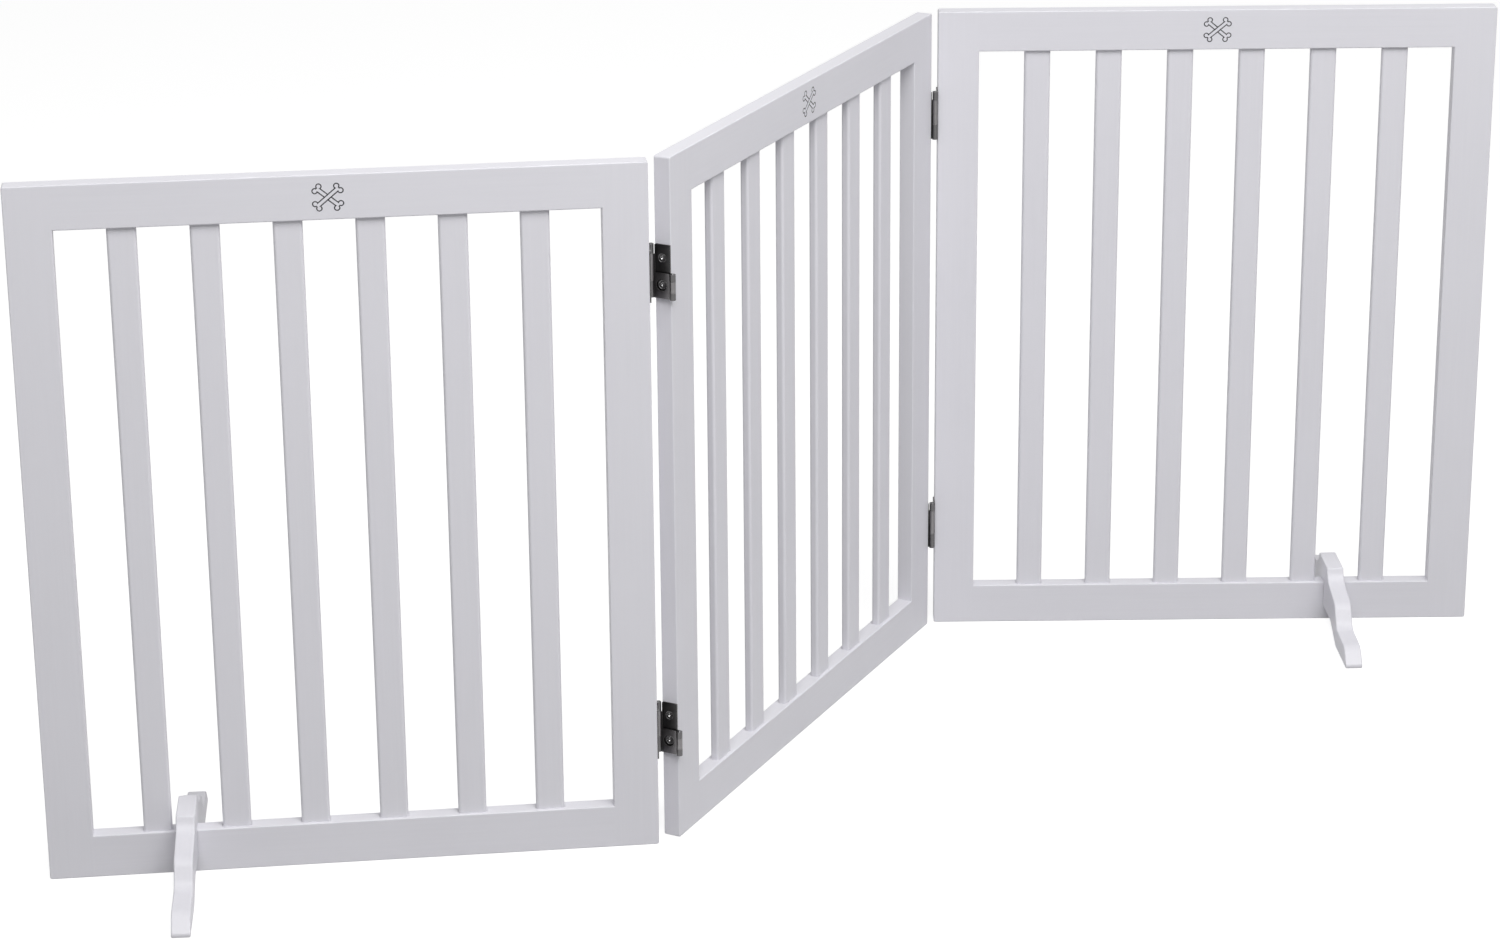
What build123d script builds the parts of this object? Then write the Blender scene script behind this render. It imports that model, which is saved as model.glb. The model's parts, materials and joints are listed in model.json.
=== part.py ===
"""Folding pet gate: three painted slatted panels, double-action screen hinges and two saddle feet.

Millimetres, +Z up. The origin is the middle of the centre panel's bottom face, X runs along the
centre panel and its front faces -Y. The outer panels stand folded about their hinge pins.
"""
import os
from math import cos, radians, sin, tan

from build123d import *

# Panel frames
PANEL_W = 516.0
PANEL_H = 610.0
PANEL_T = 15.0
STILE_W = 38.0
TOP_RAIL_H = 38.0
BOTTOM_RAIL_H = 38.0
CORNER_R = 2.0  # outer corners of a panel, seen from the front
FRAME_EDGE_R = 1.0  # sanded edges of the frame
LEFT_FOLD = 56.6  # degrees that the left panel stands turned from the straight line
RIGHT_FOLD = 62.8  # degrees that the right panel stands turned from it

# Slats and their mortises
SLAT_COUNT = 6
SLAT_W = 24.0
SLAT_T = 8.0
SLAT_EDGE_R = 2.5
TENON_L = 12.0  # slat hidden in each rail
MORTISE_FIT = 0.1  # clearance around a tenon
MORTISE_END = 1.0  # free depth past the end of a tenon

# Corner dowels
DOWEL_R = 3.0
DOWEL_L = 36.0
DOWEL_PITCH = 18.0
DOWEL_FIT = 0.05
DOWEL_END = 1.0  # free depth past each end

# Crossed bones cut into the top rails
BONE_L = 22.8  # between the middles of the knob pairs
BONE_TILT = 40.0
BONE_SHAFT = 4.4
BONE_KNOB_R = 2.6
BONE_KNOB_PITCH = 5.0
BONE_LINE = 1.0
BONE_DEPTH = 0.6

# Hinges
HINGE_H = 46.0
UPPER_HINGE_INSET = 98.0  # hinge middle to the panel's top
LOWER_HINGE_INSET = 102.5  # hinge middle to the panel's bottom
SHEET_T = 1.1
LEAF_MARGIN = 0.2  # leaf edge to panel face
LEAF_CORNER_R = 1.5  # corners of a leaf away from its barrel
PIN_R = 1.4
PIN_FIT = 0.05  # radial running clearance of a pin
PIN_OUT = 2.5  # pin axis to panel face
KNUCKLE_GAP = 0.3
MAIN_TOP_H = 8.0  # outer leaf's upper knuckle on the main pin
MAIN_LINK_H = 23.0  # link's knuckle on the main pin
LINK_H = 22.0  # link plate and minor barrel
LINK_BAND = 1.2  # upright strip of the link beside the main barrel
MINOR_TOP_H = 6.0  # inner leaf's upper knuckle on the minor pin
MINOR_LINK_H = 9.5  # link's knuckle on the minor pin
LINK_WINDOW_R = 5.1  # hole in the link over a screw head

# Countersunk hinge screws
SCREW_PITCH = 23.0
SCREW_R = 1.5
SCREW_L = 16.0
SCREW_HEAD_R = 3.6
SCREW_CONE = 90.0  # degrees across the head's cone
SCREW_SINK = 0.1  # head below the leaf's face
SCREW_FIT = 0.05
SCREW_POINT = 3.0
SCREW_TIP_R = 0.4
SCREW_END = 1.0  # free depth past the point
CROSS_L = 4.2
CROSS_W = 0.9
CROSS_DEPTH = 0.7
RECESS_R = 1.4  # cone in the middle of the cross
RECESS_TIP_R = 0.3
RECESS_DEPTH = 1.3

# Feet, measured from the middle of the rail they straddle
FOOT_L = 256.0
FOOT_T = 16.0
FOOT_RISE = 20.0  # crown above the bottom rail
FOOT_SPLAY = 2.3  # degrees that each toe turns outwards
LEFT_FOOT_GAP = 4.6  # slat edge to the left foot
RIGHT_FOOT_GAP = 8.0  # slat edge to the right foot
FOOT_FIT = 0.3  # clearance around the rail
FOOT_EDGE_R = 1.2
CROWN_L = 41.0
CROWN_R = 2.0
NECK_RUN = 4.5
NECK_DROP = 11.0
KNEE_REACH = 63.5
KNEE_H = 38.5
INSTEP_RUN = 12.5
INSTEP_DROP = 20.0
BEND_R = 14.0  # ogee bends between crown and toe
TOE_RUN = 13.0
TOE_H = 17.3
TIP_H = 3.5
TIP_R = 3.0
SOLE_R = 1.5
SOLE_L = 52.0
ARCH_REACH = 45.0
ARCH_H = 14.0
ARCH_R = 8.0

# Sizes that follow
BORE_R = PIN_R + PIN_FIT
KNUCKLE_R = BORE_R + SHEET_T
PANEL_GAP = 2 * KNUCKLE_R  # a leaf lies flat on the panel's end and rolls round the pin
PIN_Y = PANEL_T / 2 + PIN_OUT
LEAF_W = PANEL_T - 2 * LEAF_MARGIN
LINK_W = 2 * (PIN_Y - KNUCKLE_R - KNUCKLE_GAP)  # clear of the leaves' knuckles
OPENING_W = PANEL_W - 2 * STILE_W
OPENING_H = PANEL_H - TOP_RAIL_H - BOTTOM_RAIL_H
SLAT_GAP = (OPENING_W - SLAT_COUNT * SLAT_W) / (SLAT_COUNT + 1)
SLAT_PITCH = SLAT_W + SLAT_GAP
CONE_SLOPE = tan(radians(SCREW_CONE / 2))  # radius gained per length of the head's cone
SCREW_CONE_H = (SCREW_HEAD_R - SCREW_R) / CONE_SLOPE
HINGE_HEIGHTS = {"upper": PANEL_H - UPPER_HINGE_INSET, "lower": LOWER_HINGE_INSET}

# Where each panel and each hinge line stands
LINE_X = PANEL_W / 2 + PANEL_GAP / 2
PANEL_STEP = PANEL_W + PANEL_GAP
LEFT_PIN = Location((-LINE_X, PIN_Y, 0))
RIGHT_PIN = Location((LINE_X, -PIN_Y, 0))
LEFT_TURN = LEFT_PIN * Location((0, 0, 0), (0, 0, -LEFT_FOLD)) * LEFT_PIN.inverse()
RIGHT_TURN = RIGHT_PIN * Location((0, 0, 0), (0, 0, -RIGHT_FOLD)) * RIGHT_PIN.inverse()
PANELS = {
    "left": LEFT_TURN * Location((-PANEL_STEP, 0, 0)),
    "centre": Location((0, 0, 0)),
    "right": RIGHT_TURN * Location((PANEL_STEP, 0, 0)),
}
HINGE_LINES = {
    "left": Location((-LINE_X, 0, 0)),
    "right": Location((LINE_X, 0, 0), (0, 0, 180)),
}
TURNS = {"left": LEFT_TURN, "right": RIGHT_TURN}

os.makedirs("parts", exist_ok=True)


def write(solid, node):
    """Write one finished piece as its own node."""
    solid.label = node
    export_step(solid, f"parts/{node}.step")


def slat_x(index):
    """Middle of a slat, counted from the panel's left."""
    return (index - (SLAT_COUNT - 1) / 2) * SLAT_PITCH


# Panel frame: one ring with its edges sanded, cut into two stiles and two rails
with BuildPart() as ring:
    with BuildSketch(Plane.XZ):
        with Locations((0, PANEL_H / 2)):
            RectangleRounded(PANEL_W, PANEL_H, CORNER_R)
        with Locations((0, BOTTOM_RAIL_H + OPENING_H / 2)):
            Rectangle(OPENING_W, OPENING_H, mode=Mode.SUBTRACT)
    extrude(amount=PANEL_T / 2, both=True)
    fillet(ring.faces().sort_by(Axis.Y)[0].edges() + ring.faces().sort_by(Axis.Y)[-1].edges(), FRAME_EDGE_R)


def dowel_rows():
    """Heights of the dowels in the bottom and top rails."""
    middles = (BOTTOM_RAIL_H / 2, PANEL_H - TOP_RAIL_H / 2)
    return [z + side * DOWEL_PITCH / 2 for z in middles for side in (-1, 1)]


def dowel_axes(x):
    """Planes at x, one for each dowel, that look along the dowel."""
    return [Plane(origin=(x, 0, z), x_dir=(0, 1, 0), z_dir=(1, 0, 0)) for z in dowel_rows()]


def cut_dowel_holes(x):
    """Cut a blind hole for each dowel on both sides of the joint at x."""
    for axis in dowel_axes(x):
        with Locations(axis.location):
            Cylinder(DOWEL_R + DOWEL_FIT, DOWEL_L + 2 * DOWEL_END, mode=Mode.SUBTRACT)


def screw_planes(side, x, heights):
    """Planes on the face at x that look along side (1 or -1), one for each hinge screw."""
    offsets = (-SCREW_PITCH / 2, SCREW_PITCH / 2)
    return [
        Plane(origin=(x, 0, z + dz), x_dir=(0, 1, 0), z_dir=(side, 0, 0))
        for z in heights for dz in offsets
    ]


def make_stile(side, hinged):
    """One stile, on the panel's left (-1) or right (1), with screw holes where a hinge goes."""
    with BuildPart() as stile:
        add(ring.part)
        with Locations((side * (PANEL_W - STILE_W) / 2, 0, PANEL_H / 2)):
            Box(STILE_W, PANEL_T, PANEL_H, mode=Mode.INTERSECT)
        cut_dowel_holes(side * OPENING_W / 2)
        if hinged:
            cone_left = SCREW_CONE_H - (SHEET_T - SCREW_SINK)
            for plane in screw_planes(side, side * PANEL_W / 2, HINGE_HEIGHTS.values()):
                with Locations(plane.location):
                    CounterSinkHole(
                        SCREW_R + SCREW_FIT,
                        SCREW_R + cone_left * CONE_SLOPE + SCREW_FIT,
                        depth=SCREW_L + SCREW_END,
                        counter_sink_angle=SCREW_CONE,
                    )
    return stile.part


def make_rail(z, height, mortise_plane):
    """One rail between the stiles, with a mortise for each slat and holes for the dowels."""
    with BuildPart() as rail:
        add(ring.part)
        with Locations((0, 0, z + height / 2)):
            Box(OPENING_W, PANEL_T, height, mode=Mode.INTERSECT)
        with BuildSketch(mortise_plane):
            with GridLocations(SLAT_PITCH, 0, SLAT_COUNT, 1):
                RectangleRounded(
                    SLAT_W + 2 * MORTISE_FIT, SLAT_T + 2 * MORTISE_FIT, SLAT_EDGE_R + MORTISE_FIT
                )
        extrude(amount=-(TENON_L + MORTISE_END), mode=Mode.SUBTRACT)
        for side in (-1, 1):
            cut_dowel_holes(side * OPENING_W / 2)
    return rail.part


def draw_bone(tilt, shrink, mode):
    """One bone seen flat: a shaft with two knobs at each end, drawn in by shrink."""
    with Locations(Location((0, 0, 0), (0, 0, tilt))):
        Rectangle(BONE_L, BONE_SHAFT - 2 * shrink, mode=mode)
        with GridLocations(BONE_L, BONE_KNOB_PITCH, 2, 2):
            Circle(BONE_KNOB_R - shrink, mode=mode)


rail_inner_bottom = Plane.XY.offset(BOTTOM_RAIL_H)
rail_inner_top = Plane(origin=(0, 0, PANEL_H - TOP_RAIL_H), x_dir=(1, 0, 0), z_dir=(0, 0, -1))
rail_front_middle = (0, -PANEL_T / 2, PANEL_H - TOP_RAIL_H / 2)
rail_front = Plane(origin=rail_front_middle, x_dir=(1, 0, 0), z_dir=(0, -1, 0))
bottom_rail = make_rail(0, BOTTOM_RAIL_H, rail_inner_bottom)

with BuildPart() as top_rail:
    add(make_rail(PANEL_H - TOP_RAIL_H, TOP_RAIL_H, rail_inner_top))
    with BuildSketch(rail_front):
        for tilt in (-BONE_TILT, BONE_TILT):
            draw_bone(tilt, 0, Mode.ADD)
            draw_bone(tilt, BONE_LINE, Mode.SUBTRACT)
    extrude(amount=-BONE_DEPTH, mode=Mode.SUBTRACT)

with BuildPart() as slat:
    with BuildSketch(Plane.XY.offset(BOTTOM_RAIL_H - TENON_L)):
        RectangleRounded(SLAT_W, SLAT_T, SLAT_EDGE_R)
    extrude(amount=OPENING_H + 2 * TENON_L)

with BuildPart() as dowels:
    for side in (-1, 1):
        for axis in dowel_axes(side * OPENING_W / 2):
            with Locations(axis.location):
                Cylinder(DOWEL_R, DOWEL_L)

HINGED_SIDES = {"left": (1,), "centre": (-1, 1), "right": (-1,)}
for panel, place in PANELS.items():
    for side, word in ((-1, "left"), (1, "right")):
        write(make_stile(side, side in HINGED_SIDES[panel]).moved(place), f"{panel}_panel_{word}_stile")
    write(bottom_rail.moved(place), f"{panel}_panel_bottom_rail")
    write(top_rail.part.moved(place), f"{panel}_panel_top_rail")
    write(dowels.part.moved(place), f"{panel}_panel_dowels")
    for index in range(SLAT_COUNT):
        write(slat.part.moved(place * Location((slat_x(index), 0, 0))), f"{panel}_panel_slat_{index + 1}")


# Hinge: outer leaf on the -X side, inner leaf on the +X side, the link between them.
# The main pin stands behind the panels (+Y) and the minor pin in front of them.
half_h = HINGE_H / 2
link_top = LINK_H - half_h
main_link_top = half_h - MAIN_TOP_H - KNUCKLE_GAP
main_link_bottom = main_link_top - MAIN_LINK_H
minor_link_top = link_top - MINOR_TOP_H - KNUCKLE_GAP
minor_link_bottom = minor_link_top - MINOR_LINK_H
main_leaf_spans = ((half_h - MAIN_TOP_H, half_h), (-half_h, main_link_bottom - KNUCKLE_GAP))
minor_leaf_spans = ((link_top - MINOR_TOP_H, link_top), (-half_h, minor_link_bottom - KNUCKLE_GAP))


def add_barrel(pin_y, spans):
    """Add the knuckle rings round a pin, each between two heights."""
    for low, high in spans:
        with Locations((0, pin_y, (low + high) / 2)):
            Cylinder(KNUCKLE_R, high - low)


def cut_bore(pin_y):
    """Bore the knuckles for their pin."""
    with Locations((0, pin_y, 0)):
        Cylinder(BORE_R, HINGE_H, mode=Mode.SUBTRACT)


def make_leaf(side, pin_y, spans):
    """A leaf on the panel at -X or +X (side -1 or 1), rolled round the pin at pin_y."""
    sheet_x = side * (KNUCKLE_R - SHEET_T / 2)
    with BuildPart() as leaf:
        with Locations((sheet_x, 0, 0)):
            Box(SHEET_T, LEAF_W, HINGE_H)
        free_corners = leaf.edges().filter_by(Axis.X).sort_by(Axis.Y, reverse=pin_y < 0)[:2]
        fillet(free_corners, LEAF_CORNER_R)
        for low, high in spans:
            with Locations((sheet_x, pin_y / 2, (low + high) / 2)):
                Box(SHEET_T, abs(pin_y), high - low)
        add_barrel(pin_y, spans)
        cut_bore(pin_y)
        for plane in screw_planes(-side, side * (KNUCKLE_R - SHEET_T), (0,)):
            with Locations(plane.location):
                CounterSinkHole(
                    SCREW_R + SCREW_FIT,
                    SCREW_HEAD_R + SCREW_SINK * CONE_SLOPE + SCREW_FIT,
                    counter_sink_angle=SCREW_CONE,
                )
    return leaf.part


outer_leaf = make_leaf(-1, PIN_Y, main_leaf_spans)
inner_leaf = make_leaf(1, -PIN_Y, minor_leaf_spans)

with BuildPart() as link:
    with BuildSketch(Plane.YZ):
        with Locations((0, (link_top - half_h) / 2)):
            Rectangle(LINK_W, LINK_H)
        with Locations((LINK_W / 2, -half_h)):
            Rectangle(LINK_BAND, half_h + main_link_top, align=(Align.MAX, Align.MIN))
        with Locations((LINK_W / 2, main_link_top)):
            Rectangle(PIN_Y - LINK_W / 2, MAIN_LINK_H, align=(Align.MIN, Align.MAX))
        with Locations((0, minor_link_bottom)):
            Rectangle(PIN_Y, MINOR_LINK_H, align=(Align.MAX, Align.MIN))
        with Locations((0, -SCREW_PITCH / 2)):
            Circle(LINK_WINDOW_R, mode=Mode.SUBTRACT)
    extrude(amount=SHEET_T / 2, both=True)
    add_barrel(PIN_Y, ((main_link_bottom, main_link_top),))
    add_barrel(-PIN_Y, ((minor_link_bottom, minor_link_top),))
    cut_bore(PIN_Y)
    cut_bore(-PIN_Y)

with BuildPart() as main_pin:
    with BuildSketch(Plane.XY.offset(-half_h)):
        with Locations((0, PIN_Y)):
            Circle(PIN_R)
    extrude(amount=HINGE_H)

with BuildPart() as minor_pin:
    with BuildSketch(Plane.XY.offset(-half_h)):
        with Locations((0, -PIN_Y)):
            Circle(PIN_R)
    extrude(amount=LINK_H)

for line, place in HINGE_LINES.items():
    for level, z in HINGE_HEIGHTS.items():
        at_rest = place * Location((0, 0, z))
        name = f"{line}_{level}_hinge"
        write(outer_leaf.moved(TURNS[line] * at_rest), f"{name}_outer_leaf")
        write(inner_leaf.moved(at_rest), f"{name}_inner_leaf")
        write(link.part.moved(at_rest), f"{name}_link")
        write(main_pin.part.moved(at_rest), f"{name}_main_pin")
        write(minor_pin.part.moved(at_rest), f"{name}_minor_pin")


def make_screws(sides):
    """Countersunk cross-head screws through the leaves on a panel's ends (-1 left, 1 right)."""
    shank_l = SCREW_L - SCREW_POINT
    below_head = (Align.CENTER, Align.CENTER, Align.MAX)
    with BuildPart() as screws:
        for side in sides:
            head_x = side * (PANEL_W / 2 + SHEET_T - SCREW_SINK)
            for face in screw_planes(side, head_x, HINGE_HEIGHTS.values()):
                with Locations(face.location):
                    Cone(SCREW_R, SCREW_HEAD_R, SCREW_CONE_H, align=below_head)
                    Cylinder(SCREW_R, shank_l, align=below_head)
                    Box(CROSS_L, CROSS_W, 2 * CROSS_DEPTH, mode=Mode.SUBTRACT)
                    Box(CROSS_W, CROSS_L, 2 * CROSS_DEPTH, mode=Mode.SUBTRACT)
                    Cone(RECESS_TIP_R, RECESS_R, RECESS_DEPTH, align=below_head, mode=Mode.SUBTRACT)
                with Locations(face.offset(-shank_l).location):
                    Cone(SCREW_TIP_R, SCREW_R, SCREW_POINT, align=below_head)
    return screws.part


for panel, sides in HINGED_SIDES.items():
    write(make_screws(sides).moved(PANELS[panel]), f"{panel}_panel_hinge_screws")


# Feet: an arched board that drops over the bottom rail
crown_z = BOTTOM_RAIL_H + FOOT_RISE
neck = (CROWN_L / 2 + NECK_RUN, crown_z - NECK_DROP)
knee = (KNEE_REACH, KNEE_H)
instep = (KNEE_REACH + INSTEP_RUN, KNEE_H - INSTEP_DROP)
toe = (FOOT_L / 2 - TOE_RUN, TOE_H)
splay = radians(FOOT_SPLAY)
slot_w = (PANEL_T + FOOT_T * sin(splay)) / cos(splay) + 2 * FOOT_FIT

with BuildPart() as foot:
    with BuildSketch(Plane.YZ):
        with BuildLine():
            half = FilletPolyline(
                (0, crown_z),
                (CROWN_L / 2, crown_z),
                neck,
                knee,
                instep,
                toe,
                (FOOT_L / 2, TIP_H),
                (FOOT_L / 2, 0),
                (FOOT_L / 2 - SOLE_L, 0),
                (ARCH_REACH, ARCH_H),
                (0, ARCH_H),
                radius=[CROWN_R, BEND_R, BEND_R, BEND_R, BEND_R, TIP_R, SOLE_R, ARCH_R, ARCH_R],
            )
            Line(half @ 1, half @ 0)
        make_face()
        mirror(about=Plane.YZ)
    extrude(amount=FOOT_T / 2, both=True)
    fillet(foot.faces().sort_by(Axis.X)[0].edges() + foot.faces().sort_by(Axis.X)[-1].edges(), FOOT_EDGE_R)
    Box(
        FOOT_T,
        slot_w,
        BOTTOM_RAIL_H + FOOT_FIT,
        align=(Align.CENTER, Align.CENTER, Align.MIN),
        mode=Mode.SUBTRACT,
    )

for panel, slat_left_of_foot, gap, turn in (
    ("left", 0, LEFT_FOOT_GAP, -FOOT_SPLAY),
    ("right", SLAT_COUNT - 2, RIGHT_FOOT_GAP, FOOT_SPLAY),
):
    foot_x = slat_x(slat_left_of_foot) + SLAT_W / 2 + gap + FOOT_T / 2
    write(foot.part.moved(PANELS[panel] * Location((foot_x, 0, 0), (0, 0, turn))), f"{panel}_foot")
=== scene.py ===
# %% [markdown]
# # A folding pet gate in white satin paint
# Three slatted panels stand in a zigzag, joined by screen hinges that fold both ways, with a removable
# foot across each outer panel. The construction comes ready made as named nodes on moving bodies.
# This lesson gives the wood its paint, the steel its plating, and adds the small things that a maker
# would add last: the ink in the engraved ornament, the beads of paint in the joints and the domed pin ends.

# %% Load the construction
import json
from math import cos, pi, radians, sin

import bpy
from mathutils import Matrix, Quaternion, Vector


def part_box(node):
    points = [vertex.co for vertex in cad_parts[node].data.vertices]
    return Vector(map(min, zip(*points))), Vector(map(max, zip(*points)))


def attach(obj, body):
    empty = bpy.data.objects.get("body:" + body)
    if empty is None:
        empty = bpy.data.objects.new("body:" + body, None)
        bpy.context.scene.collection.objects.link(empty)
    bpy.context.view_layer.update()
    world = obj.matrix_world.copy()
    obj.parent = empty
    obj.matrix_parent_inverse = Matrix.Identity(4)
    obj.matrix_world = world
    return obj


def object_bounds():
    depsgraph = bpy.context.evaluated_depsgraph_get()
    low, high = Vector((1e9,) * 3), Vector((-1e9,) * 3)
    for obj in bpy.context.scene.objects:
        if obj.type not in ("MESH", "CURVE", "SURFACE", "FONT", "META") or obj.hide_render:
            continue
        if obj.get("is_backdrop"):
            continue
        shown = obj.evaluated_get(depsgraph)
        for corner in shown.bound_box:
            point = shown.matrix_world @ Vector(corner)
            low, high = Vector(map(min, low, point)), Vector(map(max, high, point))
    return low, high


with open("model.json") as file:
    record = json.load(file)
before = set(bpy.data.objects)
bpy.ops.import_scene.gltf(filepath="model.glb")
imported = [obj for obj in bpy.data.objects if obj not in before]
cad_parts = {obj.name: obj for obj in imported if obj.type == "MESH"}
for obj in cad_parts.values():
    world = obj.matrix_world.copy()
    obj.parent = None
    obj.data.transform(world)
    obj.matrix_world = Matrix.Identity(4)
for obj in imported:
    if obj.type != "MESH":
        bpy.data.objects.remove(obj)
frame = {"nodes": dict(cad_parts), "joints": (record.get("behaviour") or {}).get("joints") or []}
nodes = frame["nodes"]
joints = {joint["name"]: joint for joint in frame["joints"]}
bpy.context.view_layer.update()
scene = bpy.context.scene
MM = 0.001

# %% [markdown]
# The panels are one size, so their sizes are read from the centre panel, which stands along X.
# An outer panel is that same panel moved along the line and turned about its hinge pin. The fold joint
# says where the pin is, and its lower limit is the turn that would bring the panel back into line.

# %% Panel sizes and places
stile_low, stile_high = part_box("centre_panel_left_stile")
rail_low, rail_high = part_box("centre_panel_top_rail")
PANEL_H = stile_high.z
PANEL_T = stile_high.y - stile_low.y
RAIL_H = rail_high.z - rail_low.z


def outer_panel(fold):
    """The matrix that takes the centre panel to the panel on the far side of a fold."""
    pin = Vector(fold["pos_m"])
    turn = Matrix.Rotation(radians(fold["range_deg"][0]), 4, "Z")
    step = Matrix.Translation((2 * pin.x, 0, 0))
    return Matrix.Translation(pin) @ turn @ Matrix.Translation(-pin) @ step


PANELS = {
    "left": outer_panel(joints["left_panel_fold"]),
    "centre": Matrix.Identity(4),
    "right": outer_panel(joints["right_panel_fold"]),
}
for side, place in PANELS.items():
    print(side, "panel turned", round(place.to_euler().z * 180 / pi, 1), "degrees")

# %% [markdown]
# The photograph was taken from a standing height with a long lens. Its corner points give the camera's
# place, heading, tilt and lens, and the small roll of a hand-levelled tripod. The picture is cut from a
# taller one, so the lens looks at a point above its middle, and a small shift of the frame says so.

# %% Camera
CAMERA_PLACE = Vector((-2.9590, -1.4553, 1.5166))
CAMERA_HEADING = radians(26.994)  # from +X towards +Y
CAMERA_TILT = radians(-18.874)
CAMERA_ROLL = radians(-0.472)
LENS_MM = 94.55
SENSOR_MM = 36
FRAME_SHIFT = -0.10  # of the picture's width, downwards
SIGHT = 100  # metres

look = Vector((
    cos(CAMERA_TILT) * cos(CAMERA_HEADING),
    cos(CAMERA_TILT) * sin(CAMERA_HEADING),
    sin(CAMERA_TILT),
))
camera = bpy.data.objects.new("camera", bpy.data.cameras.new("camera"))
scene.collection.objects.link(camera)
camera.location = CAMERA_PLACE
camera.rotation_mode = "QUATERNION"
camera.rotation_quaternion = look.to_track_quat("-Z", "Y") @ Quaternion((0, 0, 1), CAMERA_ROLL)
camera.data.lens = LENS_MM
camera.data.sensor_width = SENSOR_MM
camera.data.shift_y = FRAME_SHIFT
camera.data.clip_end = SIGHT
scene.camera = camera
print("camera looks along", look[:])

# %% [markdown]
# Every material below is a small tree of nodes. Colours are written as sRGB hex, as a paint chart gives
# them, and turned to linear light by one function. One more function adds a node: its properties by name,
# and its inputs either as values or as another node's output.

# %% Colour and node helpers
def srgb(code):
    """A hex colour as linear red, green, blue and alpha."""
    channels = [int(code[i:i + 2], 16) / 255 for i in (1, 3, 5)]
    linear = [c / 12.92 if c <= 0.04045 else ((c + 0.055) / 1.055) ** 2.4 for c in channels]
    return (*linear, 1.0)


def add(tree, kind, inputs=(), **settings):
    """Add a node to a tree with its settings, and set or link its inputs."""
    node = tree.nodes.new(kind)
    for name, value in settings.items():
        setattr(node, name, value)
    for key, value in dict(inputs).items():
        for item in value if isinstance(value, list) else [value]:
            if isinstance(item, bpy.types.NodeSocket):
                tree.links.new(item, node.inputs[key])
            else:
                node.inputs[key].default_value = item
    return node


def new_material(name):
    """An empty material with its output node: returns the material, its tree and the output."""
    material = bpy.data.materials.new(name)
    material.use_nodes = True
    material.node_tree.nodes.clear()
    return material, material.node_tree, add(material.node_tree, "ShaderNodeOutputMaterial")


print("white is", srgb("#FFFFFF"))

# %% [markdown]
# The wood is pine under sprayed white satin enamel. Paint hides the colour of the wood but not its grain:
# long shallow ridges still show under it, running along each board, and the spray leaves a fine orange
# peel. The grain is a noise squeezed across the board and stretched along it, so a rail needs its own
# direction. The grain is drawn wider than real pine's half millimetre, so that it shows from a few metres.

# %% Satin enamel on pine
PAINT = "#E2E1E7"
PAINT_THIN = "#E0DFE5"  # where the film lies thin over a ridge
GRAIN_WIDTH = 2.2 * MM
GRAIN_LENGTH = 90 * MM
GRAIN_RELIEF = 0.012 * MM
PEEL_SIZE = 2.5 * MM
PEEL_RELIEF = 0.01 * MM
CLOUD_SIZE = 120 * MM  # slow drift in the thickness of the coat
FILM_RANGE = {"From Min": 0.15, "From Max": 0.4}  # noise values, from a full coat to a thin one
PAINT_ROUGHNESS = {"To Min": 0.40, "To Max": 0.52}  # satin, and duller where the coat drifts
ENAMEL_IOR = 1.5


def satin_enamel(name, grain, turn=0.0):
    """White satin enamel over boards whose grain runs along X or Z, after a turn about Z."""
    material, tree, output = new_material(name)
    cell = tuple(GRAIN_LENGTH if axis == grain else GRAIN_WIDTH for axis in "XYZ")
    place = add(tree, "ShaderNodeTexCoord").outputs["Object"]
    board = add(tree, "ShaderNodeMapping", {"Vector": place, "Rotation": (0, 0, turn), "Scale": cell},
                vector_type="TEXTURE")
    ridges = add(tree, "ShaderNodeTexNoise", {"Vector": board.outputs[0], "Scale": 1.0, "Detail": 3.0})
    peel = add(tree, "ShaderNodeTexNoise", {"Vector": place, "Scale": 1 / PEEL_SIZE, "Detail": 1.0})
    cloud = add(tree, "ShaderNodeTexNoise", {"Vector": place, "Scale": 1 / CLOUD_SIZE, "Detail": 2.0})
    film = add(tree, "ShaderNodeMath", {0: ridges.outputs[0], 1: cloud.outputs[0]}, operation="MULTIPLY")
    share = add(tree, "ShaderNodeMapRange", {"Value": film.outputs[0], **FILM_RANGE})
    colour = add(tree, "ShaderNodeMix", {0: share.outputs[0], 6: srgb(PAINT), 7: srgb(PAINT_THIN)},
                 data_type="RGBA")
    gloss = add(tree, "ShaderNodeMapRange", {"Value": cloud.outputs[0], **PAINT_ROUGHNESS})
    grain_bump = add(tree, "ShaderNodeBump", {"Height": ridges.outputs[0], "Distance": GRAIN_RELIEF})
    peel_bump = add(tree, "ShaderNodeBump", {"Height": peel.outputs[0], "Distance": PEEL_RELIEF,
                                             "Normal": grain_bump.outputs[0]})
    shader = add(tree, "ShaderNodeBsdfPrincipled", {
        "Base Color": colour.outputs[2], "Roughness": gloss.outputs[0], "IOR": ENAMEL_IOR,
        "Normal": peel_bump.outputs[0]})
    tree.links.new(shader.outputs[0], output.inputs["Surface"])
    return material


paint_upright = satin_enamel("satin_enamel_upright_grain", "Z")
paint_rails = {
    side: satin_enamel(f"satin_enamel_{side}_rail_grain", "X", place.to_euler().z)
    for side, place in PANELS.items()
}
print("paints", paint_upright.name, [paint.name for paint in paint_rails.values()])

# %% [markdown]
# A foot is sawn along its length, so its grain runs out over the toes. It stands nearly square to its
# panel, with each toe turned outwards by a few degrees, and the grain turns with it.

# %% Enamel on the feet
FOOT_SPLAY = {"left": radians(-2.3), "right": radians(2.3)}
paint_feet = {}
for side, splay in FOOT_SPLAY.items():
    across = PANELS[side].to_euler().z + pi / 2
    paint_feet[side] = satin_enamel(f"satin_enamel_{side}_foot_grain", "X", across + splay)
print("foot paints", [paint.name for paint in paint_feet.values()])

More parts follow.
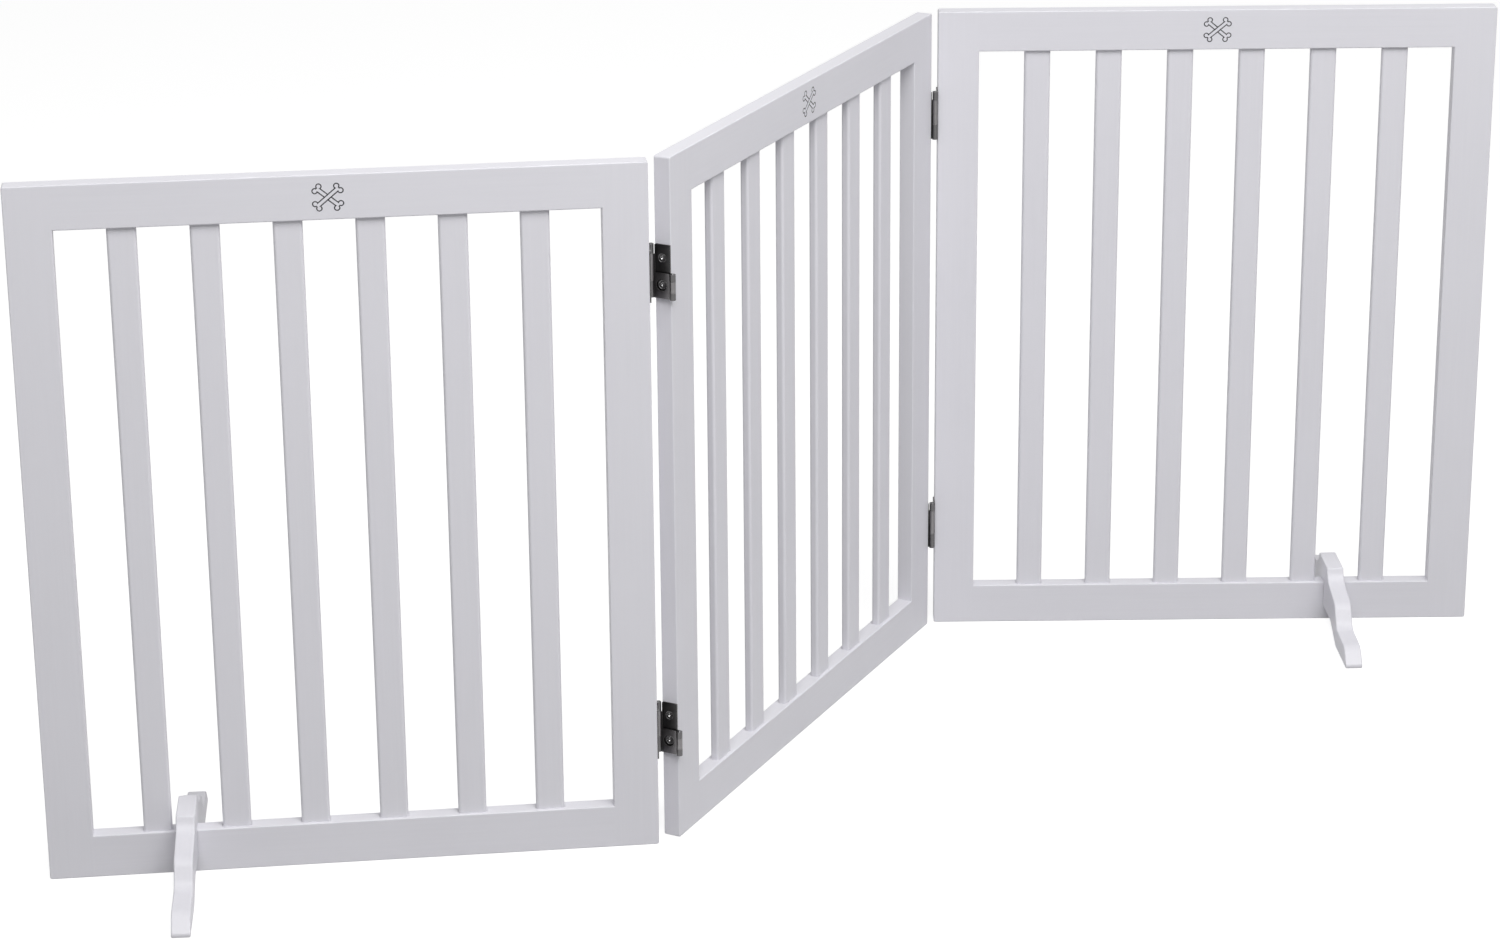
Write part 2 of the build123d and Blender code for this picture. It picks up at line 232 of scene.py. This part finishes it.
# %% [markdown]
# The hinges are pressed from steel sheet with a black nickel plating. It is a dark grey metal, clouded by
# the tumbling it had before plating. Leaves and links carry the same plating, but the links are coloured a
# little paler and the leaves darker, as painted reflection and painted shade. Edges are paler still, partly
# where the plating has rubbed thin and partly as a painted highlight, and the barrels are a little paler as
# a painted reflection. A rounded normal that differs from the true one tells the shader where an edge is,
# and the distance from a pin's axis tells it where a barrel is.

# %% Black nickel on pressed steel
TUMBLE_SIZE = 3.0 * MM
EDGE_WIDTH = 0.35 * MM
BARREL_REACH = 2.7 * MM  # just outside a barrel's own radius
BARREL_FADE = 0.4 * MM
BARREL_PAINTED_SHEEN = 0.15  # how far a barrel goes to the pale tone, as a painted reflection
EDGE_TURN = {"From Min": 0.98, "From Max": 0.80}  # agreement of the two normals, from flat to a sharp edge
GLOSS_DRIFT = 0.08  # in roughness, to either side
# The pale tone is partly real wear on the edges and partly painted highlight; on the barrels it is painted
# reflection, and the white on the screws is painted glints.
LEAF_PLATING_PAINTED_DARKER = {"dark": "#4B4A4B", "pale": "#5D5C5D", "worn_and_painted_highlight": "#A8A7A8", "rough": 0.34}
LINK_PLATING_PAINTED_PALER = {"dark": "#646264", "pale": "#7C7A7B", "worn_and_painted_highlight": "#B6B4B5", "rough": 0.34}
SCREW_PLATING = {"dark": "#6C6B6C", "pale": "#9A999A", "worn_and_painted_highlight": "#FFFFFF", "rough": 0.20}


def plated_steel(name, dark, pale, worn_and_painted_highlight, rough, pins=()):
    """Plated steel: clouded between two tones, paler at its edges as wear and painted highlight, and round
    the given pins as painted reflection.
    """
    material, tree, output = new_material(name)
    place = add(tree, "ShaderNodeTexCoord").outputs["Object"]
    cloud = add(tree, "ShaderNodeTexNoise", {"Vector": place, "Scale": 1 / TUMBLE_SIZE, "Detail": 4.0})
    sheet = add(tree, "ShaderNodeMix", {0: cloud.outputs[0], 6: srgb(dark), 7: srgb(pale)}, data_type="RGBA")
    rounded = add(tree, "ShaderNodeBevel", {"Radius": EDGE_WIDTH}, samples=4)
    facing = add(tree, "ShaderNodeNewGeometry").outputs["Normal"]
    flat = add(tree, "ShaderNodeVectorMath", {0: rounded.outputs[0], 1: facing}, operation="DOT_PRODUCT")
    wear_and_highlight = add(tree, "ShaderNodeMapRange", {"Value": flat.outputs["Value"], **EDGE_TURN})
    plan = add(tree, "ShaderNodeVectorMath", {0: place, 1: (1, 1, 0)}, operation="MULTIPLY")
    for pin in pins:
        away = add(tree, "ShaderNodeVectorMath", {0: plan.outputs[0], 1: (pin.x, pin.y, 0)},
                   operation="DISTANCE")
        near = add(tree, "ShaderNodeMapRange", {
            "Value": away.outputs["Value"], "From Min": BARREL_REACH + BARREL_FADE, "From Max": BARREL_REACH,
            "To Max": BARREL_PAINTED_SHEEN})
        wear_and_highlight = add(tree, "ShaderNodeMath", {0: wear_and_highlight.outputs[0], 1: near.outputs[0]}, operation="MAXIMUM")
    colour = add(tree, "ShaderNodeMix", {0: wear_and_highlight.outputs[0], 6: sheet.outputs[2], 7: srgb(worn_and_painted_highlight)},
                 data_type="RGBA")
    gloss = add(tree, "ShaderNodeMapRange", {
        "Value": cloud.outputs[0], "To Min": rough - GLOSS_DRIFT, "To Max": rough + GLOSS_DRIFT})
    shader = add(tree, "ShaderNodeBsdfPrincipled", {
        "Base Color": colour.outputs[2], "Roughness": gloss.outputs[0], "Metallic": 1.0})
    tree.links.new(shader.outputs[0], output.inputs["Surface"])
    return material


def pin_axis(side, pin):
    """The middle of a hinge line's main or minor pin."""
    low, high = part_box(f"{side}_lower_hinge_{pin}_pin")
    return (low + high) / 2


# The leaves get a darker copy and the links a paler copy of the one plating: painted shade and painted
# reflection.
leaf_nickel_painted_darker = {}
link_nickel_painted_paler = {}
for side in ("left", "right"):
    pins = [pin_axis(side, "main"), pin_axis(side, "minor")]
    leaf_nickel_painted_darker[side] = plated_steel(f"black_nickel_{side}_leaves", **LEAF_PLATING_PAINTED_DARKER, pins=pins)
    link_nickel_painted_paler[side] = plated_steel(f"black_nickel_{side}_links", **LINK_PLATING_PAINTED_PALER, pins=pins)
bright_nickel = plated_steel("bright_nickel_on_screws", **SCREW_PLATING)
print("metals", [metal.name for metal in (*leaf_nickel_painted_darker.values(), *link_nickel_painted_paler.values(), bright_nickel)])

# %% [markdown]
# Inside the corners sit plain beech dowels. Nobody sees them until the gate is taken apart, but they are
# there, so they get the pinkish tan and the short dark flecks of beech.

# %% Beech dowels
FLECK_LENGTH = 3.0 * MM
FLECK_WIDTH = 0.4 * MM
BEECH_TAN = "#D8B590"
BEECH_FLECK = "#B98D64"
BEECH_ROUGHNESS = 0.7
WOOD_IOR = 1.5


def beech():
    """Unfinished beech: tan wood with short darker flecks."""
    material, tree, output = new_material("unfinished_beech")
    place = add(tree, "ShaderNodeTexCoord").outputs["Object"]
    cell = (FLECK_LENGTH, FLECK_LENGTH, FLECK_WIDTH)
    fibre = add(tree, "ShaderNodeMapping", {"Vector": place, "Scale": cell}, vector_type="TEXTURE")
    fleck = add(tree, "ShaderNodeTexNoise", {"Vector": fibre.outputs[0], "Scale": 1.0, "Detail": 2.0})
    colour = add(tree, "ShaderNodeMix", {0: fleck.outputs[0], 6: srgb(BEECH_TAN), 7: srgb(BEECH_FLECK)},
                 data_type="RGBA")
    shader = add(tree, "ShaderNodeBsdfPrincipled", {
        "Base Color": colour.outputs[2], "Roughness": BEECH_ROUGHNESS, "IOR": WOOD_IOR})
    tree.links.new(shader.outputs[0], output.inputs["Surface"])
    return material


beech_wood = beech()
print("wood", beech_wood.name)

# %% [markdown]
# Each node of the construction takes its finish by name: metal for the hinges, beech for the dowels, and
# paint with the right grain direction for everything else.

# %% Finish every node
def finish_of(name):
    """The material of a node, from its name."""
    side = name.split("_")[0]
    if name.endswith("dowels"):
        return beech_wood
    if name.endswith(("screws", "pin")):
        return bright_nickel
    if name.endswith("leaf"):
        return leaf_nickel_painted_darker[side]
    if name.endswith("link"):
        return link_nickel_painted_paler[side]
    if name.endswith("foot"):
        return paint_feet[side]
    return paint_rails[side] if name.endswith("rail") else paint_upright


for name, node in nodes.items():
    node.data.materials.clear()
    node.data.materials.append(finish_of(name))
print("finished", len(nodes), "nodes")

# %% [markdown]
# Repeated shapes and shapes that follow a rule are grown by Geometry Nodes. A tree is built once with
# named inputs, run on an empty mesh, and its result is kept as a plain mesh that rides on a body.

# %% Geometry node helpers
def new_tree(name, inputs):
    """A geometry tree with named inputs: returns the tree, its input sockets and its output node."""
    tree = bpy.data.node_groups.new(name, "GeometryNodeTree")
    for label, kind in inputs.items():
        tree.interface.new_socket(name=label, in_out="INPUT", socket_type=f"NodeSocket{kind}")
    tree.interface.new_socket(name="Geometry", in_out="OUTPUT", socket_type="NodeSocketGeometry")
    given = add(tree, "NodeGroupInput").outputs
    return tree, given, add(tree, "NodeGroupOutput")


def grow(name, tree, values, place, body):
    """Run a tree with these values, put the mesh in place and let it ride on a body."""
    piece = bpy.data.objects.new(name, bpy.data.meshes.new(name))
    scene.collection.objects.link(piece)
    modifier = piece.modifiers.new("grow", "NODES")
    modifier.node_group = tree
    for item in tree.interface.items_tree:
        if item.in_out == "INPUT":
            modifier[item.identifier] = values[item.name]
    depsgraph = bpy.context.evaluated_depsgraph_get()
    mesh = bpy.data.meshes.new_from_object(piece.evaluated_get(depsgraph))
    piece.modifiers.clear()
    piece.data = mesh
    mesh.name = name
    mesh.transform(place)
    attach(piece, body)
    print(name, "has", len(mesh.polygons), "faces")


# %% [markdown]
# Two crossed bones are engraved in each top rail and the line is filled with dark ink. The line could be
# swept along a path, but its corners, and the crossing where one bone passes over the other, come out
# exactly if it is cut as the engraver cuts it: a bone outline, less a smaller bone, with the upper bone
# laid over the lower. A bone is a bar with two round knobs at each end.

# %% Engraved bones
BONE = {
    "Length": 22.8 * MM,
    "Shaft": 4.4 * MM,
    "Knob radius": 2.6 * MM,
    "Knob spacing": 5.0 * MM,
}
BONE_TILT = radians(40)
LINE_W = 1.0 * MM
LINE_DEPTH = 0.6 * MM
INK_BELOW_FACE = 0.08 * MM
INK_CLEARANCE = 0.02 * MM
KNOB_SIDES = 40


def bone_tree():
    """One bone as a flat solid, drawn in by Shrink on all sides and turned by Tilt."""
    tree, given, output = new_tree("bone", {
        **{label: "Float" for label in BONE}, "Shrink": "Float", "Height": "Float", "Tilt": "Float"})
    inset = add(tree, "ShaderNodeMath", {0: given["Shrink"], 1: 2.0}, operation="MULTIPLY")
    width = add(tree, "ShaderNodeMath", {0: given["Shaft"], 1: inset.outputs[0]}, operation="SUBTRACT")
    radius = add(tree, "ShaderNodeMath", {0: given["Knob radius"], 1: given["Shrink"]}, operation="SUBTRACT")
    size = add(tree, "ShaderNodeCombineXYZ", {0: given["Length"], 1: width.outputs[0], 2: given["Height"]})
    shaft = add(tree, "GeometryNodeMeshCube", {"Size": size.outputs[0]})
    knob = add(tree, "GeometryNodeMeshCylinder", {
        "Vertices": KNOB_SIDES, "Radius": radius.outputs[0], "Depth": given["Height"]})
    corners = add(tree, "GeometryNodeMeshGrid", {
        "Size X": given["Length"], "Size Y": given["Knob spacing"], "Vertices X": 2, "Vertices Y": 2})
    knobs = add(tree, "GeometryNodeInstanceOnPoints", {
        "Points": corners.outputs[0], "Instance": knob.outputs[0]})
    whole = add(tree, "GeometryNodeRealizeInstances", {0: knobs.outputs[0]})
    joined = add(tree, "GeometryNodeMeshBoolean", {
        "Mesh 2": [shaft.outputs[0], whole.outputs[0]], "Self Intersection": True},
        operation="UNION", solver="EXACT")
    turn = add(tree, "ShaderNodeCombineXYZ", {2: given["Tilt"]})
    turned = add(tree, "GeometryNodeTransform", {0: joined.outputs[0], "Rotation": turn.outputs[0]})
    tree.links.new(turned.outputs[0], output.inputs[0])
    return tree


one_bone = bone_tree()
print("bone tree has", len(one_bone.nodes), "nodes")

# %% [markdown]
# The groove is already cut in the rail, so the ink only has to fill it. The bone tree is used four times: an
# outline and a smaller inside for each bone. The second outline is laid over the first bone before its own
# inside is cut away, which also cuts the lines of the bone below. The ink rests on the groove's floor, a
# hair's breadth from its walls, and stops just below the face of the rail, as ink does when it dries.

# %% Ink in the engraved line
def ink_tree():
    """The outlines of two crossed bones as one flat solid of ink, just below the face of the rail."""
    tree, given, output = new_tree("crossed_bones_ink", {
        **{label: "Float" for label in BONE}, "Tilt": "Float", "Line": "Float", "Depth": "Float",
        "Below face": "Float", "Clearance": "Float", "Ink": "Material"})
    height = add(tree, "ShaderNodeMath", {0: given["Depth"], 1: given["Below face"]}, operation="SUBTRACT")
    tall = add(tree, "ShaderNodeMath", {0: height.outputs[0], 1: 2.0}, operation="MULTIPLY")
    inner = add(tree, "ShaderNodeMath", {0: given["Line"], 1: given["Clearance"]}, operation="SUBTRACT")
    other = add(tree, "ShaderNodeMath", {0: given["Tilt"], 1: -1.0}, operation="MULTIPLY")
    shape = {label: given[label] for label in BONE}
    drawn = None
    for tilt in (other.outputs[0], given["Tilt"]):
        outline = add(tree, "GeometryNodeGroup", {
            **shape, "Tilt": tilt, "Shrink": given["Clearance"], "Height": height.outputs[0]},
            node_tree=one_bone)
        inside = add(tree, "GeometryNodeGroup", {
            **shape, "Tilt": tilt, "Shrink": inner.outputs[0], "Height": tall.outputs[0]},
            node_tree=one_bone)
        solid = outline.outputs[0]
        if drawn:
            laid = add(tree, "GeometryNodeMeshBoolean", {"Mesh 2": [drawn, solid]},
                       operation="UNION", solver="EXACT")
            solid = laid.outputs[0]
        cut = add(tree, "GeometryNodeMeshBoolean", {"Mesh 1": solid, "Mesh 2": inside.outputs[0]},
                  operation="DIFFERENCE", solver="EXACT")
        drawn = cut.outputs[0]
    half = add(tree, "ShaderNodeMath", {0: height.outputs[0], 1: -0.5}, operation="MULTIPLY")
    sunk = add(tree, "ShaderNodeMath", {0: half.outputs[0], 1: given["Below face"]}, operation="SUBTRACT")
    down = add(tree, "ShaderNodeCombineXYZ", {2: sunk.outputs[0]})
    placed = add(tree, "GeometryNodeTransform", {0: drawn, "Translation": down.outputs[0]})
    real = add(tree, "GeometryNodeRealizeInstances", {0: placed.outputs[0]})
    inked = add(tree, "GeometryNodeSetMaterial", {0: real.outputs[0], "Material": given["Ink"]})
    tree.links.new(inked.outputs[0], output.inputs[0])
    return tree


crossed_bones = ink_tree()
print("ink tree has", len(crossed_bones.nodes), "nodes")

# %% [markdown]
# The ink is a dense charcoal enamel that dried matt in the groove. It pools a little, so its tone drifts.

# %% Charcoal ink
INK_DARK = "#1A191D"
INK_PALE = "#2D2C31"
POOL_SIZE = 2.0 * MM
INK_ROUGHNESS = 0.6


def charcoal_ink():
    """Matt charcoal enamel with a slow drift in tone."""
    material, tree, output = new_material("charcoal_enamel_ink")
    place = add(tree, "ShaderNodeTexCoord").outputs["Object"]
    pool = add(tree, "ShaderNodeTexNoise", {"Vector": place, "Scale": 1 / POOL_SIZE, "Detail": 2.0})
    colour = add(tree, "ShaderNodeMix", {0: pool.outputs[0], 6: srgb(INK_DARK), 7: srgb(INK_PALE)},
                 data_type="RGBA")
    shader = add(tree, "ShaderNodeBsdfPrincipled", {
        "Base Color": colour.outputs[2], "Roughness": INK_ROUGHNESS, "IOR": ENAMEL_IOR})
    tree.links.new(shader.outputs[0], output.inputs["Surface"])
    return material


ink = charcoal_ink()
RAIL_FACE = Matrix.Translation((0, -PANEL_T / 2, PANEL_H - RAIL_H / 2)) @ Matrix.Rotation(pi / 2, 4, "X")
for side, place in PANELS.items():
    grow(f"{side}_panel_bone_ink", crossed_bones, {
        **BONE, "Tilt": BONE_TILT, "Line": LINE_W, "Depth": LINE_DEPTH, "Below face": INK_BELOW_FACE,
        "Clearance": INK_CLEARANCE, "Ink": ink}, place @ RAIL_FACE, f"{side}_panel")

# %% [markdown]
# Each slat end sits in a mortise, and the sprayed paint gathers in the corner round it as a thin bead with
# a hollow face. Sweeping one small profile round the slat's outline gives the bead its mitred corners, and
# the same ring is then repeated along both rails. The ring turns over for the top rail, so that no face
# is mirrored inside out.

# %% Paint beads round the slat ends
SLAT_EDGE_R = 2.5 * MM
BEAD = 0.8 * MM
BEAD_HOLLOW = 0.35  # how far the hollow face stands out from the corner, as a share of the bead
BEAD_BITE = 0.05 * MM  # how far the bead laps into slat and rail
CORNER_STEPS = 6


def bead_tree():
    """A ring of paint round a slat, repeated along the bottom rail and turned over along the top rail."""
    tree, given, output = new_tree("paint_beads", {
        "Slat width": "Float", "Slat thickness": "Float", "Edge radius": "Float", "Bead": "Float",
        "Hollow": "Float", "Bite": "Float", "Slats": "Int", "First": "Float", "Pitch": "Float",
        "Low": "Float", "High": "Float", "Paint": "Material"})
    outline = add(tree, "GeometryNodeCurvePrimitiveQuadrilateral", {
        "Width": given["Slat width"], "Height": given["Slat thickness"]})
    rounded = add(tree, "GeometryNodeFilletCurve", {
        "Curve": outline.outputs[0], "Radius": given["Edge radius"], "Count": CORNER_STEPS}, mode="POLY")
    level = add(tree, "GeometryNodeSetCurveNormal", {"Curve": rounded.outputs[0]}, mode="Z_UP")
    hollow = add(tree, "ShaderNodeMath", {0: given["Bead"], 1: given["Hollow"]}, operation="MULTIPLY")
    inside = add(tree, "ShaderNodeMath", {0: given["Bite"], 1: -1.0}, operation="MULTIPLY")
    corner = add(tree, "ShaderNodeCombineXYZ", {0: inside.outputs[0], 1: inside.outputs[0]})
    toe = add(tree, "ShaderNodeCombineXYZ", {0: given["Bead"], 1: inside.outputs[0]})
    face = add(tree, "ShaderNodeCombineXYZ", {0: hollow.outputs[0], 1: hollow.outputs[0]})
    head = add(tree, "ShaderNodeCombineXYZ", {0: inside.outputs[0], 1: given["Bead"]})
    section = add(tree, "GeometryNodeCurvePrimitiveQuadrilateral", {
        "Point 1": corner.outputs[0], "Point 2": toe.outputs[0], "Point 3": face.outputs[0],
        "Point 4": head.outputs[0]}, mode="POINTS")
    ring = add(tree, "GeometryNodeCurveToMesh", {
        "Curve": level.outputs[0], "Profile Curve": section.outputs[0]})
    step = add(tree, "ShaderNodeCombineXYZ", {0: given["Pitch"]})
    rows = []
    for height, turn in ((given["Low"], 0.0), (given["High"], pi)):
        start = add(tree, "ShaderNodeCombineXYZ", {0: given["First"], 2: height})
        row = add(tree, "GeometryNodeMeshLine", {
            "Count": given["Slats"], "Start Location": start.outputs[0], "Offset": step.outputs[0]})
        rings = add(tree, "GeometryNodeInstanceOnPoints", {
            "Points": row.outputs[0], "Instance": ring.outputs[0], "Rotation": (turn, 0, 0)})
        rows.append(rings.outputs[0])
    both = add(tree, "GeometryNodeJoinGeometry", {0: rows})
    real = add(tree, "GeometryNodeRealizeInstances", {0: both.outputs[0]})
    painted = add(tree, "GeometryNodeSetMaterial", {0: real.outputs[0], "Material": given["Paint"]})
    tree.links.new(painted.outputs[0], output.inputs[0])
    return tree


paint_beads = bead_tree()
slats = sorted(name for name in nodes if name.startswith("centre_panel_slat"))
first_low, first_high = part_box(slats[0])
slat_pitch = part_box(slats[1])[0].x - first_low.x
bottom_rail_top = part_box("centre_panel_bottom_rail")[1].z
for side, place in PANELS.items():
    grow(f"{side}_panel_paint_beads", paint_beads, {
        "Slat width": first_high.x - first_low.x, "Slat thickness": first_high.y - first_low.y,
        "Edge radius": SLAT_EDGE_R, "Bead": BEAD, "Hollow": BEAD_HOLLOW, "Bite": BEAD_BITE,
        "Slats": len(slats), "First": (first_low.x + first_high.x) / 2, "Pitch": slat_pitch,
        "Low": bottom_rail_top, "High": rail_low.z, "Paint": paint_upright},
        place, f"{side}_panel")

# %% [markdown]
# A hinge pin is cut flush with its barrel, and each end is then struck with a round punch, which leaves a
# low dome. A squashed sphere sunk half into the pin gives that dome. The lower and the upper hinge on a line
# have the same pins, so one tree puts a dome on both ends of both.

# %% Domed pin ends
DOME_RISE = 0.6 * MM
DOME_INSET = 0.03 * MM  # inside the pin's own radius
DOME_SEGMENTS = 24
DOME_RINGS = 12


def dome_tree():
    """Domes on both ends of a pin, repeated up the hinge line."""
    tree, given, output = new_tree("domed_pin_ends", {
        "Radius": "Float", "Rise": "Float", "Bottom": "Float", "Top": "Float", "Spacing": "Float",
        "Steel": "Material"})
    ball = add(tree, "GeometryNodeMeshUVSphere", {
        "Segments": DOME_SEGMENTS, "Rings": DOME_RINGS, "Radius": 1.0})
    size = add(tree, "ShaderNodeCombineXYZ", {0: given["Radius"], 1: given["Radius"], 2: given["Rise"]})
    dome = add(tree, "GeometryNodeTransform", {0: ball.outputs[0], "Scale": size.outputs[0]})
    bottom = add(tree, "ShaderNodeCombineXYZ", {2: given["Bottom"]})
    top = add(tree, "ShaderNodeCombineXYZ", {2: given["Top"]})
    ends = add(tree, "GeometryNodeMeshLine", {
        "Count": 2, "Start Location": bottom.outputs[0], "Offset": top.outputs[0]}, mode="END_POINTS")
    pair = add(tree, "GeometryNodeInstanceOnPoints", {
        "Points": ends.outputs[0], "Instance": dome.outputs[0]})
    climb = add(tree, "ShaderNodeCombineXYZ", {2: given["Spacing"]})
    hinges = add(tree, "GeometryNodeMeshLine", {"Count": 2, "Offset": climb.outputs[0]})
    all_ends = add(tree, "GeometryNodeInstanceOnPoints", {
        "Points": hinges.outputs[0], "Instance": pair.outputs[0]})
    real = add(tree, "GeometryNodeRealizeInstances", {0: all_ends.outputs[0]})
    smooth = add(tree, "GeometryNodeSetShadeSmooth", {0: real.outputs[0]})
    plated = add(tree, "GeometryNodeSetMaterial", {0: smooth.outputs[0], "Material": given["Steel"]})
    tree.links.new(plated.outputs[0], output.inputs[0])
    return tree


domed_ends = dome_tree()
for side in ("left", "right"):
    for pin in ("main", "minor"):
        low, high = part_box(f"{side}_lower_hinge_{pin}_pin")
        upper_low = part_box(f"{side}_upper_hinge_{pin}_pin")[0]
        axis = pin_axis(side, pin)
        grow(f"{side}_{pin}_pin_domes", domed_ends, {
            "Radius": (high.x - low.x) / 2 - DOME_INSET, "Rise": DOME_RISE, "Bottom": low.z, "Top": high.z,
            "Spacing": upper_low.z - low.z, "Steel": bright_nickel},
            Matrix.Translation((axis.x, axis.y, 0)), f"{side}_hinge_links")

# %% [markdown]
# The stage is a wide pale floor that the camera sees as white, with the gate's own soft shadow kept.
# To the camera and to reflections the floor adds just enough glow to reach white. To everything else it
# is a plain grey board, so that it doesn't throw too much light up at the gate.

# %% Floor
FLOOR_SIZE = 60.0
FLOOR_DROP = 0.3 * MM
FLOOR_PAINT = "#AEAEAE"
FLOOR_GLOW = 0.79


def seen_directly(tree):
    """1 for rays from the camera, reflections and clear glass, 0 for light that falls on the gate."""
    ray = add(tree, "ShaderNodeLightPath").outputs
    seen = add(tree, "ShaderNodeMath", {0: ray["Is Camera Ray"], 1: ray["Is Glossy Ray"]}, operation="ADD")
    seen = add(tree, "ShaderNodeMath", {0: seen.outputs[0], 1: ray["Is Transmission Ray"]}, operation="ADD",
               use_clamp=True)
    return seen.outputs[0]


reach = FLOOR_SIZE / 2
floor_mesh = bpy.data.meshes.new("floor")
floor_mesh.from_pydata(
    [(-reach, -reach, -FLOOR_DROP), (reach, -reach, -FLOOR_DROP), (reach, reach, -FLOOR_DROP),
     (-reach, reach, -FLOOR_DROP)], [], [(0, 1, 2, 3)])
floor = bpy.data.objects.new("floor", floor_mesh)
scene.collection.objects.link(floor)
floor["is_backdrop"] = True

material, tree, output = new_material("pale_studio_floor")
board = add(tree, "ShaderNodeBsdfDiffuse", {"Color": srgb(FLOOR_PAINT)})
glow_level = add(tree, "ShaderNodeMath", {0: seen_directly(tree), 1: FLOOR_GLOW}, operation="MULTIPLY")
glow = add(tree, "ShaderNodeEmission", {"Strength": glow_level.outputs[0]})
both = add(tree, "ShaderNodeAddShader", {0: board.outputs[0], 1: glow.outputs[0]})
tree.links.new(both.outputs[0], output.inputs["Surface"])
floor_mesh.materials.append(material)
print("floor", FLOOR_SIZE, "m wide")

# %% [markdown]
# The light is a plain white studio. A large softbox stands high over the camera's side of the gate and
# makes the tops of rails and feet paler than their faces. A weaker one in front of the centre panel opens
# its shade. An even surround does the rest, with a wall behind the gate that is brighter towards the floor
# and lights the backs of the panels. The camera and reflections see a white room.

# %% World and softboxes
SURROUND = 0.30
BACK_WALL = 1.15  # added low in the middle of the wall, and fading to nothing at its sides and top
BACK_WALL_SIDE = (0.78, 0.54, -0.32)
WALL_FADE = 2.0  # the power by which it fades
SOFTBOXES = {
    "key_softbox": {"place": (-1.5, -1.2, 2.9), "size": (2.4, 1.8), "watts": 82.0},
    "front_softbox": {"place": (0.0, -2.06, 2.75), "size": (1.8, 1.8), "watts": 17.5},
}
SOFTBOX_AIM = Vector((0, 0, 0.3))

world = bpy.data.worlds.new("white_studio")
scene.world = world
world.use_nodes = True
tree = world.node_tree
tree.nodes.clear()
towards = add(tree, "ShaderNodeTexCoord").outputs["Generated"]
facing = add(tree, "ShaderNodeVectorMath", {0: towards, 1: BACK_WALL_SIDE}, operation="DOT_PRODUCT")
wall = add(tree, "ShaderNodeMath", {0: facing.outputs["Value"], 1: 0.0}, operation="MAXIMUM")
fade = add(tree, "ShaderNodeMath", {0: wall.outputs[0], 1: WALL_FADE}, operation="POWER")
room = add(tree, "ShaderNodeMath", {0: fade.outputs[0], 1: BACK_WALL, 2: SURROUND}, operation="MULTIPLY_ADD")
level = add(tree, "ShaderNodeMapRange", {
    "Value": seen_directly(tree), "To Min": room.outputs[0], "To Max": 1.0})
sky = add(tree, "ShaderNodeBackground", {"Strength": level.outputs[0]})
add(tree, "ShaderNodeOutputWorld", {"Surface": sky.outputs[0]})

for name, box in SOFTBOXES.items():
    lamp = bpy.data.objects.new(name, bpy.data.lights.new(name, "AREA"))
    scene.collection.objects.link(lamp)
    lamp.data.shape = "RECTANGLE"
    lamp.data.size, lamp.data.size_y = box["size"]
    lamp.data.energy = box["watts"]
    lamp.location = box["place"]
    lamp.rotation_euler = (SOFTBOX_AIM - lamp.location).to_track_quat("-Z", "Y").to_euler()
    print(name, box["watts"], "W")
scene.view_settings.view_transform = "Standard"

# %% [markdown]
# The looks are meant never to change the size. The box of the dressed gate, without the floor, is measured
# here.

# %% Size of the dressed gate
low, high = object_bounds()
